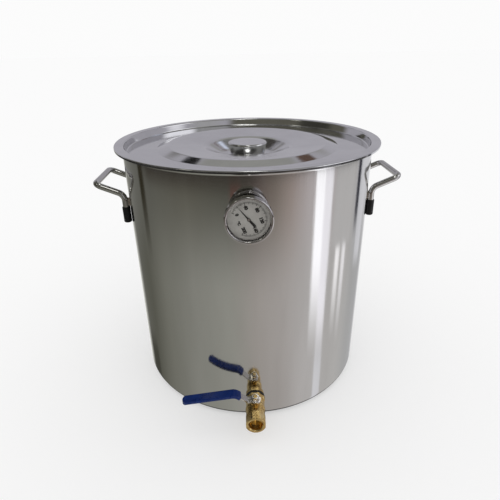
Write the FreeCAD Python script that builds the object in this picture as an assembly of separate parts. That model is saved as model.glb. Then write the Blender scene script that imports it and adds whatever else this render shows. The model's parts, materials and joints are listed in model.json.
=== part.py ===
"""Brew kettle: a stainless stock pot with a recessed lid, two rod handles,
a dial thermometer and a half-inch brass ball valve.

Millimetres, +Z up. The origin is the centre of the base underside. The front,
with the valve and the thermometer, faces -Y, and the handles are on -X and +X.
"""
import FreeCAD, Part
import math
import os

V = FreeCAD.Vector
ORIGIN = V(0, 0, 0)
UP = V(0, 0, 1)

# ---- driving dimensions -------------------------------------------------
# Kettle shell
POT_R = 180.0            # outer radius of the wall
POT_SHEET = 0.9          # sheet thickness
POT_BASE_ROUND = 13.5    # outer radius of the base corner
POT_FLARE = 5.5          # radius of the outward flare under the rim
POT_FLANGE_Z = 369.95    # underside of the short flange that carries the bead
BEAD_R = 1.5             # half thickness of the rolled bead
BEAD_RING_R = 187.6      # radius of the bead's centre circle
BEAD_Z = 370.4           # height of the bead's centre

# Lid
LID_SHEET = 0.8
LID_TOP = 373.0          # top face of the lid's flange
LID_R = 190.7            # outer radius of the turned-down edge
LID_EDGE_DROP = 3.4      # height of that edge
LID_FLANGE_IN = 177.8    # where the flange turns down into the pot
LID_FLOOR_OUT = 175.2
LID_FLOOR_IN = 131.0
LID_FLOOR_Z = 362.3
LID_PLATEAU_OUT = 116.0
LID_PLATEAU_OUT_Z = 366.6
LID_DISH_R = 62.2
LID_DISH_Z = 361.9
LID_DISH_FLAT_R = 34.0
LID_DISH_FLAT_Z = 345.5
# Bend radii at the lid's points, from the turned-down edge to the screw hole
LID_BENDS = [0, 1.2, 2.4, 2.0, 10.0, 12.0, 12.0, 26.0, 0]

# Lid knob
KNOB_TOP_R = 29.5
KNOB_TOP_Z = 366.7
KNOB_FOOT_R = 24.5
KNOB_ROUND = 2.4
KNOB_SHEET = 1.0
CORE_R = 14.0            # foot of the hub inside the knob that takes the screw
CORE_NECK_R = 11.0
CORE_FOOT_H = 2.0
CORE_NECK_Z = 5.0        # above the lid, where the hub's neck is straight
CORE_HOLE_DEPTH = 12.0
SCREW_R = 2.5
SCREW_LENGTH = 12.0
SCREW_HEAD_R = 4.75
SCREW_HEAD_H = 2.6
SCREW_HEAD_RIM = 0.8     # height of the head's straight edge
SCREW_SLOT = (4.6, 1.0, 1.4)
WASHER_R = 8.0
WASHER_H = 1.0
WASHER_FIT = 0.2         # radial gap around a screw

# Rod handles
ROD_R = 4.5
HANDLE_HALF_WIDTH = 42.0     # legs and arms, to their centre lines
HANDLE_LEG_RING = 186.0      # distance of a leg from the kettle's axis
HANDLE_REACH = 220.5         # centre line of the grip bar from the Z axis
HANDLE_BAR_Z = 319.5
HANDLE_BEND_Z = 303.0        # where leg and arm would meet without a bend
HANDLE_BEND_R = 13.0
HANDLE_CORNER_R = 9.0
HANDLE_YAW = 2.0             # the handles stand this far past square to the front, degrees
LEG_END_Z = 264.5
CAP_R = 5.7
CAP_END_BEVEL = 1.0
CAP_LIP_BEVEL = 0.4
CAP_END_Z = 261.5
CAP_TOP_Z = 285.0
WELD_LOW_Z = 286.0
WELD_HIGH_Z = 298.0
WELD_HALF_WIDTH = 2.6
WELD_DEPTH = 6.0
WELD_ROUND = 1.2

# Fittings through the wall: half-inch pipe thread
THREAD_R = 10.45             # major radius of the male thread
WALL_HOLE_R = 10.6
GASKET_OUT_H = 1.8
GASKET_IN_H = 2.6
GASKET_R = 14.0
GASKET_FIT = 0.05
THREAD_LEAD = 1.0            # bevel at the end of a thread
LOCKNUT_AF = 27.0            # across flats
LOCKNUT_H = 5.0

# Thermometer
THERMO_Z = 319.0
THERMO_HEX_AF = 24.0
THERMO_HEX_H = 3.0
THERMO_THREAD_END = 166.0    # distance of the thread's end from the kettle's axis
CASE_R = 26.6
CASE_SHEET = 0.8
CASE_DEPTH = 11.9
CASE_ROUND = 3.0
CASE_EDGE = 1.5              # the case's edge stops this far under the lens
DIAL_LEDGE = (1.6, 1.0)      # width and height of the ledge that carries the dial
BEZEL_R = 28.1
BEZEL_LIP_R = 24.9
BEZEL_FRONT = 201.0
BEZEL_DEPTH = 8.0
BEZEL_ROUND = 1.3
DIAL_FACE = 194.0
DIAL_SHEET = 0.6
DIAL_R = 25.6
DIAL_HOLE_FIT = 0.4
LENS_RING_WIDTH = 1.2
LENS_BACK = 196.5
LENS_H = 1.5
STEM_R = 3.0
STEM_WALL = 0.4
STEM_TIP_BEVEL = 1.2
STEM_TIP_WALL = 1.5
STEM_TIP = 118.0
SPINDLE_R = 0.6
SPINDLE_END = 124.0
SPINDLE_HEAD_R = 1.5         # head that rivets the pointer on
SPINDLE_HEAD_H = 0.5
POINTER_SHEET = 0.4
POINTER_LIFT = 0.4           # gap between the dial and the pointer
POINTER_LENGTH = 18.4
POINTER_TAIL = 11.2
POINTER_HUB_R = 2.0
POINTER_HUB_H = 0.9
POINTER_HALF_WIDTHS = (0.9, 1.2, 1.7)   # at the hub's edge, the centre and the tail
POINTER_ANGLE = 130.0        # at rest, from +X towards +Z: 20 degrees Celsius
COIL_R = 1.9
COIL_WIRE_R = 0.22
COIL_PITCH = 1.6
COIL_START = 125.0
COIL_LENGTH = 16.0

# Ball valve
VALVE_Z = 36.0
VALVE_X = 4.5                # the valve sits this far to the right of the thermometer
STEM_DISTANCE = 201.5        # stem axis from the kettle's axis
OUTLET_FACE = 229.0          # outlet face from the kettle's axis
VALVE_THREAD_END = 163.0
COLLAR_AF = 26.5
COLLAR_FACE = 188.5
BODY_R = 13.0
BULGE_R = 13.8
OUTLET_AF = 26.5
OUTLET_ROUND_R = 13.9
OUTLET_LENGTH = 14.5
OUTLET_BEVEL = 1.1
OUTLET_THREAD_R = 9.3        # minor radius of the female half-inch thread
OUTLET_THREAD_DEPTH = 14.0
OUTLET_LEAD = 1.2            # lead-in bevel of the outlet's thread
PORT_R = 5.2
BALL_R = 9.0
BALL_FIT = 0.05              # radial running clearance
SLOT_HALF = 2.0              # half width of the ball's slot for the stem
SLOT_FLOOR = 6.5
TANG_LENGTH = 9.0            # of the stem's tang in that slot
SEAT_R = 9.8
SEAT_BORE_R = 5.5
SEAT_OUTER = 9.0             # far face of each seat from the ball's centre
SEAT_INNER = 5.0             # near face, clear of the stem's collar
SOCKET_R = 11.2
BOSS_R = 6.4
BOSS_TOP = 15.6              # above the valve's axis
SPINDLE_SHAFT_R = 3.5
POCKET_R = 5.0
POCKET_TOP = 11.0
COLLAR_CLEARANCE = 0.3       # around the stem's collar in its pocket
PACKING_LOW = 12.6
PACKING_TOP = 14.2
GLAND_AF = 11.0
GLAND_TOP = 18.3

# Lever
LEVER_YAW = 3.0              # the closed lever stands this far past square, degrees
STRAP_SHEET = 1.8
STRAP_WIDTH = 10.0
STRAP_RISE_BEND = 4.0        # inside radius where the strap starts to rise
STRAP_CREST_BEND = 7.0
STRAP_BOTTOM = 18.6          # root's underside above the valve's axis
STRAP_ROOT_R = 7.5
STRAP_RISE_START = 11.0
STRAP_RISE_END = 27.5
STRAP_CREST = 32.6           # mid height at the crest, above the valve's axis
STRAP_TIP = 97.0
STRAP_TIP_DROP = 7.2
GRIP_START = 21.0
GRIP_END = 99.5
GRIP_WIDTH = 14.4
GRIP_HEIGHT = 4.8
GRIP_BEND = 8.2              # at the crest, on the sleeve's underside
GRIP_EDGE_ROUND = 1.6
LEVER_NUT_AF = 10.0
LEVER_NUT_H = 4.2
LEVER_WASHER_R = 6.0
LEVER_WASHER_H = 0.8
STEM_THREAD_R = 2.9
STEM_TOP = 26.6
STEM_FLATS = 4.4             # across the flats that drive the lever
STEM_ROOT_R = 2.2            # undercut below the stem's thread
STEM_BEVEL = 0.6

PAST = 1.0                   # cutting tools run this far past the faces they cut
TALL = 60.0                  # height of a cutting tool that only has to be long enough

# Where the two fittings go through the wall, as (x, z)
THERMO_PLACE = (0, THERMO_Z)
VALVE_PLACE = (VALVE_X, VALVE_Z)


# ---- helpers ------------------------------------------------------------
def save(name, shape):
    shape.exportStep(f"parts/{name}.step")
    box = shape.BoundBox
    print(f"{name}: solids {len(shape.Solids)}, valid {shape.isValid()}, "
          f"z {box.ZMin:.2f} to {box.ZMax:.2f}")


def rounded_path(points, radii):
    """Edges along points in the XZ plane, with an arc of the given radius at each."""
    corners = [V(x, 0, z) for x, z in points]
    edges = []
    last = corners[0]
    for before, corner, after, radius in zip(corners, corners[1:], corners[2:], radii[1:]):
        to_start = (before - corner).normalize()
        to_end = (after - corner).normalize()
        half = to_start.getAngle(to_end) / 2
        if radius == 0 or half > math.pi / 2 - 1e-6:
            edges.append(Part.makeLine(last, corner))
            last = corner
            continue
        reach = radius / math.tan(half)
        start = corner + to_start * reach
        end = corner + to_end * reach
        inward = (to_start + to_end).normalize()
        middle = corner + inward * (radius / math.sin(half) - radius)
        if (start - last).Length > 1e-6:
            edges.append(Part.makeLine(last, start))
        edges.append(Part.Arc(start, middle, end).toShape())
        last = end
    edges.append(Part.makeLine(last, corners[-1]))
    return edges


def offset_points(points, distance):
    """The same open path, moved to its left by distance."""
    moved = []
    for i, (x, z) in enumerate(points):
        normals = []
        for a, b in ((i - 1, i), (i, i + 1)):
            if a >= 0 and b < len(points):
                dx = points[b][0] - points[a][0]
                dz = points[b][1] - points[a][1]
                length = math.hypot(dx, dz)
                normals.append((-dz / length, dx / length))
        nx = sum(n[0] for n in normals) / len(normals)
        nz = sum(n[1] for n in normals) / len(normals)
        scale = distance / (nx * nx + nz * nz)
        moved.append((x + nx * scale, z + nz * scale))
    return moved


def turn_sign(points, i):
    """+1 where the path turns left at point i, -1 where it turns right."""
    (ax, az), (bx, bz), (cx, cz) = points[i - 1:i + 2]
    cross = (bx - ax) * (cz - bz) - (bz - az) * (cx - bx)
    return 1 if cross > 0 else -1


def sheet_face(points, radii, thickness):
    """Closed section of a bent sheet whose right-hand face follows the path."""
    left = offset_points(points, thickness)
    left_radii = list(radii)
    for i in range(1, len(points) - 1):
        if radii[i]:
            left_radii[i] = max(radii[i] - thickness * turn_sign(points, i), 0.05)
    outside = rounded_path(points, radii)
    inside = rounded_path(left, left_radii)
    first = Part.makeLine(V(left[0][0], 0, left[0][1]), V(points[0][0], 0, points[0][1]))
    last = Part.makeLine(V(points[-1][0], 0, points[-1][1]), V(left[-1][0], 0, left[-1][1]))
    edges = Part.__sortEdges__(outside + [last] + inside + [first])
    return Part.Face(Part.Wire(edges))


def revolve(face):
    return face.revolve(ORIGIN, UP, 360)


def outline_face(points):
    corners = [V(x, 0, z) for x, z in points]
    return Part.Face(Part.makePolygon(corners + corners[:1]))


def turned(points):
    """Solid of revolution about Z from (radius, height) corners."""
    return revolve(outline_face(points))


def tube(inner, outer, low, high):
    outside = Part.makeCylinder(outer, high - low, V(0, 0, low))
    if inner == 0:
        return outside
    return outside.cut(Part.makeCylinder(inner, high - low + 2 * PAST, V(0, 0, low - PAST)))


def corner_radius(sides, across_flats):
    return across_flats / 2 / math.cos(math.pi / sides)


def prism(sides, across_flats, low, high):
    """Regular prism about Z, with a flat that faces local +Y."""
    radius = corner_radius(sides, across_flats)
    first = math.pi / 2 + math.pi / sides
    corners = []
    for i in range(sides):
        angle = first + 2 * math.pi * i / sides
        corners.append(V(radius * math.cos(angle), radius * math.sin(angle), low))
    face = Part.Face(Part.makePolygon(corners + corners[:1]))
    return face.extrude(V(0, 0, high - low))


def chamfered_prism(sides, across_flats, low, high, bevel=0.9):
    """A nut's outside: a prism whose corners are turned off at about 30 degrees."""
    radius = corner_radius(sides, across_flats)
    rise = 0.6 * bevel
    cone = turned([(0, low), (radius - bevel, low), (radius, low + rise),
                   (radius, high - rise), (radius - bevel, high), (0, high)])
    return prism(sides, across_flats, low, high).common(cone)


def face_front(shape, place):
    """Turn local +Z to the front (-Y) and local +Y up, and move to place (x, z).

    Local Z is then the distance from the kettle's XZ plane.
    """
    placed = shape.copy()
    placed.rotate(ORIGIN, V(1, 0, 0), 90)
    placed.translate(V(place[0], 0, place[1]))
    return placed


def pot_cylinder(radius, place):
    """The pot's wall as a full cylinder, in the local frame of a fitting at place."""
    return Part.makeCylinder(radius, 2 * POT_R, V(-place[0], -POT_R, 0), V(0, 1, 0))


# ---- kettle shell -------------------------------------------------------
def kettle_shell():
    path = [(0, 0), (POT_R, 0), (POT_R, POT_FLANGE_Z), (BEAD_RING_R, POT_FLANGE_Z)]
    shell = revolve(sheet_face(path, [0, POT_BASE_ROUND, POT_FLARE, 0], POT_SHEET))
    bead = Part.makeTorus(BEAD_RING_R, BEAD_R, V(0, 0, BEAD_Z))
    shell = shell.fuse(bead).removeSplitter()
    for place in (VALVE_PLACE, THERMO_PLACE):
        hole = tube(0, WALL_HOLE_R, POT_R / 2, 2 * POT_R)
        shell = shell.cut(face_front(hole, place))
    return shell


# ---- lid ----------------------------------------------------------------
def lid_pan():
    path = [
        (LID_R, LID_TOP - LID_EDGE_DROP),
        (LID_R, LID_TOP),
        (LID_FLANGE_IN, LID_TOP),
        (LID_FLOOR_OUT, LID_FLOOR_Z),
        (LID_FLOOR_IN, LID_FLOOR_Z),
        (LID_PLATEAU_OUT, LID_PLATEAU_OUT_Z),
        (LID_DISH_R, LID_DISH_Z),
        (LID_DISH_FLAT_R, LID_DISH_FLAT_Z),
        (SCREW_R + WASHER_FIT, LID_DISH_FLAT_Z),
    ]
    return revolve(sheet_face(path, LID_BENDS, LID_SHEET))


def lid_knob_shell():
    path = [(KNOB_FOOT_R, LID_DISH_FLAT_Z), (KNOB_TOP_R, KNOB_TOP_Z), (0, KNOB_TOP_Z)]
    return revolve(sheet_face(path, [0, KNOB_ROUND, 0], KNOB_SHEET))


def lid_knob_core():
    top = KNOB_TOP_Z - KNOB_SHEET
    foot = LID_DISH_FLAT_Z
    return turned([(SCREW_R, foot), (CORE_R, foot), (CORE_R, foot + CORE_FOOT_H),
                   (CORE_NECK_R, foot + CORE_NECK_Z), (CORE_NECK_R, top), (0, top),
                   (0, foot + CORE_HOLE_DEPTH), (SCREW_R, foot + CORE_HOLE_DEPTH)])


def lid_knob_screw():
    under = LID_DISH_FLAT_Z - LID_SHEET - WASHER_H
    shank = Part.makeCylinder(SCREW_R, SCREW_LENGTH, V(0, 0, under))
    end = under - SCREW_HEAD_H
    head = turned([(0, under), (SCREW_HEAD_R, under), (SCREW_HEAD_R, under - SCREW_HEAD_RIM),
                   (SCREW_HEAD_R * 0.6, end), (0, end)])
    screw = shank.fuse(head)
    length, width, depth = SCREW_SLOT
    for angle in (0, 90):
        slot = Part.makeBox(length, width, depth, V(-length / 2, -width / 2, end))
        slot.rotate(ORIGIN, UP, angle)
        screw = screw.cut(slot)
    return screw


def lid_knob_washer():
    top = LID_DISH_FLAT_Z - LID_SHEET
    return tube(SCREW_R + WASHER_FIT, WASHER_R, top - WASHER_H, top)


# ---- rod handles --------------------------------------------------------
def leg_x():
    return math.sqrt(HANDLE_LEG_RING ** 2 - HANDLE_HALF_WIDTH ** 2)


def bent_rod(points, radii, rod_radius):
    """Round rod along straight runs joined by tangent arcs, in space."""
    solids = []
    last = points[0]
    for i in range(1, len(points) - 1):
        corner = points[i]
        to_start = (points[i - 1] - corner).normalize()
        to_end = (points[i + 1] - corner).normalize()
        half = to_start.getAngle(to_end) / 2
        reach = radii[i] / math.tan(half)
        start = corner + to_start * reach
        end = corner + to_end * reach
        centre = corner + (to_start + to_end).normalize() * (radii[i] / math.sin(half))
        run = start - last
        solids.append(Part.makeCylinder(rod_radius, run.Length, last, run))
        disc = Part.Face(Part.Wire(Part.makeCircle(rod_radius, start, to_start)))
        axis = to_start.cross(to_end)
        turn = 180 - math.degrees(2 * half)
        solids.append(disc.revolve(centre, axis, -turn))
        last = end
    run = points[-1] - last
    solids.append(Part.makeCylinder(rod_radius, run.Length, last, run))
    return solids[0].fuse(solids[1:]).removeSplitter()


def handle(side):
    x = leg_x()
    points = [
        V(side * x, -HANDLE_HALF_WIDTH, LEG_END_Z),
        V(side * x, -HANDLE_HALF_WIDTH, HANDLE_BEND_Z),
        V(side * HANDLE_REACH, -HANDLE_HALF_WIDTH, HANDLE_BAR_Z),
        V(side * HANDLE_REACH, HANDLE_HALF_WIDTH, HANDLE_BAR_Z),
        V(side * x, HANDLE_HALF_WIDTH, HANDLE_BEND_Z),
        V(side * x, HANDLE_HALF_WIDTH, LEG_END_Z),
    ]
    radii = [0, HANDLE_BEND_R, HANDLE_CORNER_R, HANDLE_CORNER_R, HANDLE_BEND_R, 0]
    return bent_rod(points, radii, ROD_R)


def yawed(shape):
    """Turn a handle piece about Z, past square to the front."""
    placed = shape.copy()
    placed.rotate(ORIGIN, UP, HANDLE_YAW)
    return placed


def handle_cap(side, end):
    """Moulded cap over one leg's end, open at the top."""
    cap = turned([(0, CAP_END_Z), (CAP_R - CAP_END_BEVEL, CAP_END_Z),
                  (CAP_R, CAP_END_Z + CAP_END_BEVEL), (CAP_R, CAP_TOP_Z - CAP_LIP_BEVEL),
                  (CAP_R - CAP_LIP_BEVEL, CAP_TOP_Z), (ROD_R, CAP_TOP_Z),
                  (ROD_R, LEG_END_Z), (0, LEG_END_Z)])
    cap.translate(V(side * leg_x(), end * HANDLE_HALF_WIDTH, 0))
    return cap


def handle_welds(side):
    """Weld beads that fill the gap between both legs and the wall."""
    rod = Part.makeCylinder(ROD_R, TALL, V(HANDLE_LEG_RING, 0, LEG_END_Z))
    middle = (POT_R + HANDLE_LEG_RING - ROD_R) / 2
    height = WELD_HIGH_Z - WELD_LOW_Z
    block = Part.makeBox(WELD_DEPTH, 2 * WELD_HALF_WIDTH, height,
                         V(middle - WELD_DEPTH / 2, -WELD_HALF_WIDTH, WELD_LOW_Z))
    radial_edges = [e for e in block.Edges if e.BoundBox.XLength > WELD_DEPTH / 2]
    block = block.makeFillet(WELD_ROUND, radial_edges)
    wall = Part.makeCylinder(POT_R, POT_FLANGE_Z)
    bead = block.cut(rod).cut(wall)
    bead = min(bead.Solids, key=lambda solid: solid.CenterOfMass.x)
    lean = math.degrees(math.asin(HANDLE_HALF_WIDTH / HANDLE_LEG_RING))
    beads = []
    for end in (-1, 1):
        placed = bead.copy()
        centre_angle = end * lean if side > 0 else 180 + end * lean
        placed.rotate(ORIGIN, UP, centre_angle)
        beads.append(placed)
    return Part.makeCompound(beads)


# ---- parts shared by the two wall fittings ------------------------------
def outer_gasket(place):
    ring = tube(THREAD_R + GASKET_FIT, GASKET_R, POT_R / 2, POT_R + GASKET_OUT_H)
    return ring.cut(pot_cylinder(POT_R, place))


def inner_gasket(place):
    inside = POT_R - POT_SHEET
    ring = tube(THREAD_R + GASKET_FIT, GASKET_R, inside - GASKET_IN_H, POT_R)
    return ring.common(pot_cylinder(inside, place))


def locknut():
    top = POT_R - POT_SHEET - GASKET_IN_H
    nut = chamfered_prism(6, LOCKNUT_AF, top - LOCKNUT_H, top)
    return nut.cut(tube(0, THREAD_R, top - LOCKNUT_H - PAST, top + PAST))


def male_thread(end, face, bore):
    """Threaded shank with a turned-down end, from end out to face."""
    return turned([(bore, end), (THREAD_R - THREAD_LEAD, end), (THREAD_R, end + THREAD_LEAD),
                   (THREAD_R, face), (bore, face)])


# ---- thermometer --------------------------------------------------------
def thermometer_bushing():
    seat = POT_R + GASKET_OUT_H
    head = chamfered_prism(6, THERMO_HEX_AF, seat, seat + THERMO_HEX_H, 0.7)
    head = head.cut(tube(0, STEM_R, seat - PAST, seat + THERMO_HEX_H + PAST))
    return head.fuse(male_thread(THERMO_THREAD_END, seat, STEM_R)).removeSplitter()


def case_back():
    return POT_R + GASKET_OUT_H + THERMO_HEX_H


def thermometer_stem():
    back = case_back()
    outer = turned([(0, STEM_TIP), (STEM_R - STEM_TIP_BEVEL, STEM_TIP),
                    (STEM_R, STEM_TIP + STEM_TIP_BEVEL), (STEM_R, back), (0, back)])
    bore = tube(0, STEM_R - STEM_WALL, STEM_TIP + STEM_TIP_WALL, back + PAST)
    return outer.cut(bore)


def thermometer_case():
    back = case_back()
    front = back + CASE_DEPTH - CASE_EDGE
    path = [(STEM_R - STEM_WALL, back), (CASE_R, back), (CASE_R, front)]
    case = revolve(sheet_face(path, [0, CASE_ROUND, 0], CASE_SHEET))
    ledge_width, ledge_height = DIAL_LEDGE
    dial_back = DIAL_FACE - DIAL_SHEET
    ledge = tube(DIAL_R - ledge_width, CASE_R - CASE_SHEET, dial_back - ledge_height, dial_back)
    return case.fuse(ledge).removeSplitter()


def thermometer_bezel():
    """Rolled ring that clips over the case and holds the lens."""
    back = BEZEL_FRONT - BEZEL_DEPTH
    ring = turned([
        (CASE_R, back), (BEZEL_R, back), (BEZEL_R, BEZEL_FRONT),
        (BEZEL_LIP_R, BEZEL_FRONT), (BEZEL_LIP_R, LENS_BACK + LENS_H),
        (CASE_R, LENS_BACK + LENS_H),
    ])
    rim = [e for e in ring.Edges
           if e.BoundBox.ZLength < 0.01 and abs(e.BoundBox.ZMax - BEZEL_FRONT) < 0.01]
    return ring.makeFillet(BEZEL_ROUND, rim)


def thermometer_lens():
    return tube(0, CASE_R, LENS_BACK, LENS_BACK + LENS_H)


def thermometer_dial():
    return tube(SPINDLE_R + DIAL_HOLE_FIT, DIAL_R, DIAL_FACE - DIAL_SHEET, DIAL_FACE)


def thermometer_lens_ring():
    """Ring that keeps the lens off the dial and presses it to the bezel."""
    return tube(DIAL_R - LENS_RING_WIDTH, CASE_R - CASE_SHEET, DIAL_FACE, LENS_BACK)


def thermometer_pointer():
    low = DIAL_FACE + POINTER_LIFT
    near_hub, at_centre, at_tail = POINTER_HALF_WIDTHS
    upper = [(POINTER_HUB_R, near_hub), (0, at_centre), (-POINTER_TAIL, at_tail)]
    lower = [(x, -y) for x, y in reversed(upper)]
    outline = [V(x, y, low) for x, y in [(POINTER_LENGTH, 0)] + upper + lower]
    blade = Part.Face(Part.makePolygon(outline + outline[:1])).extrude(V(0, 0, POINTER_SHEET))
    hub = tube(0, POINTER_HUB_R, low, low + POINTER_HUB_H)
    hole = tube(0, SPINDLE_R, low - PAST, low + POINTER_HUB_H + PAST)
    pointer = blade.fuse(hub).cut(hole)
    pointer.rotate(ORIGIN, UP, POINTER_ANGLE)
    return pointer


def thermometer_spindle():
    hub_top = DIAL_FACE + POINTER_LIFT + POINTER_HUB_H
    rivet = tube(0, SPINDLE_HEAD_R, hub_top, hub_top + SPINDLE_HEAD_H)
    return tube(0, SPINDLE_R, SPINDLE_END, hub_top).fuse(rivet).removeSplitter()


def bimetal_coil():
    helix = Part.makeHelix(COIL_PITCH, COIL_LENGTH, COIL_R)
    wire_disc = Part.Wire(Part.makeCircle(COIL_WIRE_R, V(COIL_R, 0, 0), V(0, 1, 0)))
    coil = Part.Wire(helix).makePipeShell([wire_disc], True, True)
    coil.translate(V(0, 0, COIL_START))
    return coil


# ---- ball valve ---------------------------------------------------------
def valve_tailpiece():
    """Rear end of the valve: collar, wall thread, and the nose that holds the seats."""
    seat = POT_R + GASKET_OUT_H
    collar = chamfered_prism(8, COLLAR_AF, seat, COLLAR_FACE, 0.6)
    nose_end = STEM_DISTANCE - SEAT_OUTER
    nose = tube(0, SOCKET_R, COLLAR_FACE, nose_end)
    bore = tube(0, PORT_R, seat - PAST, nose_end + PAST)
    tail = male_thread(VALVE_THREAD_END, seat, PORT_R)
    return collar.fuse(nose).cut(bore).fuse(tail).removeSplitter()


def valve_body():
    """Ball housing with its stem boss and its octagonal outlet."""
    body = valve_body_outside()
    for hollow in valve_body_hollows():
        body = body.cut(hollow)
    return body.removeSplitter()


def across_flow(radius, low, high):
    """Cylinder about the stem's axis, in the local frame of the valve's fittings."""
    return Part.makeCylinder(radius, high - low, V(0, low, STEM_DISTANCE), V(0, 1, 0))


def valve_body_outside():
    start = OUTLET_FACE - OUTLET_LENGTH
    rear = tube(0, BODY_R, COLLAR_FACE, start + PAST)
    bulge = Part.makeSphere(BULGE_R, V(0, 0, STEM_DISTANCE))
    bulge = bulge.common(tube(0, 2 * BULGE_R, COLLAR_FACE, OUTLET_FACE))
    octagon = prism(8, OUTLET_AF, start, OUTLET_FACE)
    round_off = turned([(0, start), (BODY_R - 0.6, start),
                        (OUTLET_ROUND_R, start + OUTLET_BEVEL),
                        (OUTLET_ROUND_R, OUTLET_FACE - OUTLET_BEVEL),
                        (OUTLET_ROUND_R - OUTLET_BEVEL, OUTLET_FACE), (0, OUTLET_FACE)])
    boss = across_flow(BOSS_R, 0, BOSS_TOP)
    return rear.fuse([bulge, octagon.common(round_off), boss])


def valve_body_hollows():
    cavity_end = STEM_DISTANCE + SEAT_OUTER
    socket_end = STEM_DISTANCE - SEAT_OUTER
    bottom = OUTLET_FACE - OUTLET_THREAD_DEPTH
    mouth_r = OUTLET_THREAD_R + OUTLET_LEAD
    thread = turned([(0, bottom), (OUTLET_THREAD_R, bottom),
                     (OUTLET_THREAD_R, OUTLET_FACE - OUTLET_LEAD), (mouth_r, OUTLET_FACE),
                     (mouth_r, OUTLET_FACE + PAST), (0, OUTLET_FACE + PAST)])
    return [
        tube(0, SOCKET_R, COLLAR_FACE - PAST, socket_end),
        tube(0, SEAT_R, socket_end - PAST, cavity_end),
        tube(0, PORT_R, STEM_DISTANCE, OUTLET_FACE),
        thread,
        across_flow(SPINDLE_SHAFT_R + BALL_FIT, 0, BOSS_TOP + PAST),
        across_flow(POCKET_R, 0, POCKET_TOP),
        across_flow(POCKET_R, PACKING_LOW, BOSS_TOP + PAST),
    ]


def valve_seat(direction):
    near = STEM_DISTANCE + direction * SEAT_INNER
    far = STEM_DISTANCE + direction * SEAT_OUTER
    ring = tube(SEAT_BORE_R, SEAT_R, min(near, far), max(near, far))
    return ring.cut(Part.makeSphere(BALL_R + BALL_FIT, V(0, 0, STEM_DISTANCE)))


def at_stem(shape):
    """Move a shape built about Z, from the valve's axis up, to the valve's stem."""
    placed = shape.copy()
    placed.translate(V(VALVE_X, -STEM_DISTANCE, VALVE_Z))
    return placed


def valve_packing():
    return tube(SPINDLE_SHAFT_R + BALL_FIT, POCKET_R, PACKING_LOW, PACKING_TOP)


def valve_gland():
    thread = tube(SPINDLE_SHAFT_R + BALL_FIT, POCKET_R, PACKING_TOP, BOSS_TOP)
    head = chamfered_prism(6, GLAND_AF, BOSS_TOP, GLAND_TOP, 0.5)
    head = head.cut(tube(0, SPINDLE_SHAFT_R + BALL_FIT, BOSS_TOP - PAST, GLAND_TOP + PAST))
    return thread.fuse(head).removeSplitter()


def valve_ball():
    """Chromed ball, bored across the flow because the valve is closed at rest."""
    ball = Part.makeSphere(BALL_R)
    bore = Part.makeCylinder(PORT_R, 2 * BALL_R, V(-BALL_R, 0, 0), V(1, 0, 0))
    slot = Part.makeBox(2 * SLOT_HALF, 2 * BALL_R, BALL_R, V(-SLOT_HALF, -BALL_R, SLOT_FLOOR))
    return ball.cut(bore).cut(slot)


def driving_section(low, height):
    """Shaft with two flats, which turns the lever."""
    round_part = Part.makeCylinder(SPINDLE_SHAFT_R, height, V(0, 0, low))
    between_flats = Part.makeBox(STEM_FLATS, 4 * SPINDLE_SHAFT_R, height,
                                 V(-STEM_FLATS / 2, -2 * SPINDLE_SHAFT_R, low))
    return round_part.common(between_flats)


def valve_stem():
    collar_low = BALL_R + COLLAR_CLEARANCE
    collar_r = POCKET_R - COLLAR_CLEARANCE
    tang = Part.makeBox(2 * SLOT_HALF, TANG_LENGTH, collar_low - SLOT_FLOOR,
                        V(-SLOT_HALF, -TANG_LENGTH / 2, SLOT_FLOOR))
    tang = tang.common(Part.makeCylinder(collar_r, collar_low))
    collar = tube(0, collar_r, collar_low, POCKET_TOP - COLLAR_CLEARANCE)
    shaft = tube(0, SPINDLE_SHAFT_R, collar_low, STRAP_BOTTOM)
    flats = driving_section(STRAP_BOTTOM, STRAP_SHEET)
    low = STRAP_BOTTOM + STRAP_SHEET
    thread = turned([(0, low), (STEM_ROOT_R, low), (STEM_THREAD_R, low + STEM_BEVEL),
                     (STEM_THREAD_R, STEM_TOP - STEM_BEVEL),
                     (STEM_THREAD_R - STEM_BEVEL, STEM_TOP), (0, STEM_TOP)])
    return tang.fuse([collar, shaft, flats, thread]).removeSplitter()


# ---- lever --------------------------------------------------------------
def lever_path():
    """Underside of the strap from behind the stem to the tip; +X is along the lever."""
    crest = STRAP_CREST - STRAP_SHEET / 2
    return [(-STRAP_ROOT_R, STRAP_BOTTOM), (STRAP_RISE_START, STRAP_BOTTOM),
            (STRAP_RISE_END, crest), (STRAP_TIP, crest - STRAP_TIP_DROP)]


def band(points, radii, thickness, width):
    """Bent strip of constant thickness, centred on the XZ plane."""
    face = sheet_face(points, radii, thickness)
    strip = face.extrude(V(0, width, 0))
    strip.translate(V(0, -width / 2, 0))
    return strip


def plan_outline():
    """The strap seen from above: round root, narrow neck, round tip."""
    root = Part.makeCylinder(STRAP_ROOT_R, TALL)
    half = STRAP_WIDTH / 2
    neck_start = Part.Face(Part.makePolygon([
        V(0, -STRAP_ROOT_R, 0), V(STRAP_RISE_START, -half, 0),
        V(STRAP_RISE_START, half, 0), V(0, STRAP_ROOT_R, 0), V(0, -STRAP_ROOT_R, 0)]))
    run = Part.makeBox(STRAP_TIP - half - STRAP_RISE_START, STRAP_WIDTH, TALL,
                       V(STRAP_RISE_START, -half, 0))
    tip = Part.makeCylinder(half, TALL, V(STRAP_TIP - half, 0, 0))
    return root.fuse([neck_start.extrude(V(0, 0, TALL)), run, tip])


def clocked(shape):
    """Turn a lever piece from +X to its closed direction and put it on the stem."""
    placed = shape.copy()
    placed.rotate(ORIGIN, UP, 180 + LEVER_YAW)
    return at_stem(placed)


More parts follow.
